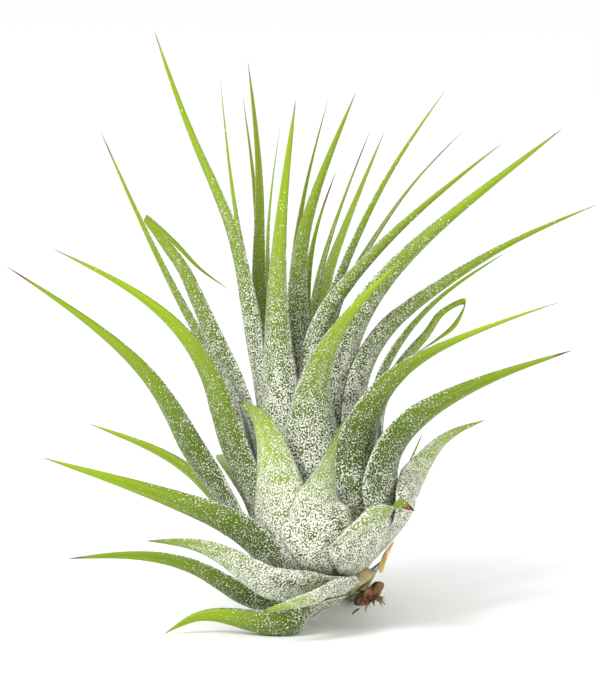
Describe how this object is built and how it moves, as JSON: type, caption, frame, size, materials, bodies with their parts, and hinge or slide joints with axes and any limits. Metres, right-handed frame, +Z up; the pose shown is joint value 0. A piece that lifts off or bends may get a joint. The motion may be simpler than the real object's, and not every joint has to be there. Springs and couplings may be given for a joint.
{
  "type": "air plant",
  "caption": "Small stemmed rosette of stiff, channelled, tapering silvery-green leaves with sheathing bases, picked and lying on its lowest leaves.",
  "frame": {"origin": "on the ground surface, under the centre of the plant's bounding box", "axes": "+Z up, +Y from the front of the plant to its back, +X to the right seen from the front"},
  "size_m": [0.0966, 0.0694, 0.0968],
  "materials": {
    "green_leaf": "matte",
    "silvery_leaf": "matte",
    "stem": "matte",
    "dry_stem": "matte",
    "dry_bract": "matte"
  },
  "bodies": {
    "root": {"heart_leaf_thin_centre": "green_leaf", "heart_leaf_thin_right": "green_leaf", "heart_leaf_back": "green_leaf", "heart_leaf_left": "green_leaf", "inner_leaf_right_arching": "green_leaf", "inner_leaf_right_thin": "green_leaf", "inner_leaf_front_tall": "green_leaf", "inner_leaf_back_bright": "green_leaf", "inner_leaf_left_thin": "green_leaf", "inner_leaf_front_arching": "green_leaf", "inner_leaf_back_left": "green_leaf", "middle_leaf_left_tall": "green_leaf", "middle_leaf_centre": "green_leaf", "middle_leaf_back_thin": "green_leaf", "middle_leaf_right_long": "green_leaf", "middle_leaf_front_broad": "green_leaf", "middle_leaf_right_reaching": "green_leaf", "middle_leaf_left_kinked": "green_leaf", "middle_leaf_right_upright": "green_leaf", "middle_leaf_back_left_long": "green_leaf", "middle_leaf_right_kinked": "green_leaf", "back_leaf_upper_centre": "green_leaf", "back_leaf_upper_right": "green_leaf", "back_leaf_upper_left": "green_leaf", "back_leaf_short_right": "green_leaf", "back_leaf_short_left": "green_leaf", "left_leaf_broad": "green_leaf", "right_leaf_front": "green_leaf", "left_leaf_long": "green_leaf", "right_leaf_low": "green_leaf", "right_leaf_spike": "green_leaf", "left_leaf_dark": "green_leaf", "back_leaf_middle_centre": "green_leaf", "back_leaf_middle_left": "green_leaf", "back_leaf_middle_right": "green_leaf", "front_leaf_short_left": "silvery_leaf", "left_leaf_spreading": "green_leaf", "front_leaf_short_centre": "silvery_leaf", "right_leaf_outer_sheath": "silvery_leaf", "back_leaf_low_centre": "green_leaf", "front_leaf_short_right": "silvery_leaf", "left_leaf_short_white": "silvery_leaf", "back_leaf_ground_right": "green_leaf", "left_leaf_low": "green_leaf", "back_leaf_ground_left": "green_leaf", "front_leaf_basal_white": "silvery_leaf", "left_leaf_ground": "green_leaf", "stem": "stem", "dry_stem_end": "dry_stem", "wiry_root": "dry_stem", "dry_bract": "dry_bract"}
  },
  "joints": []
}
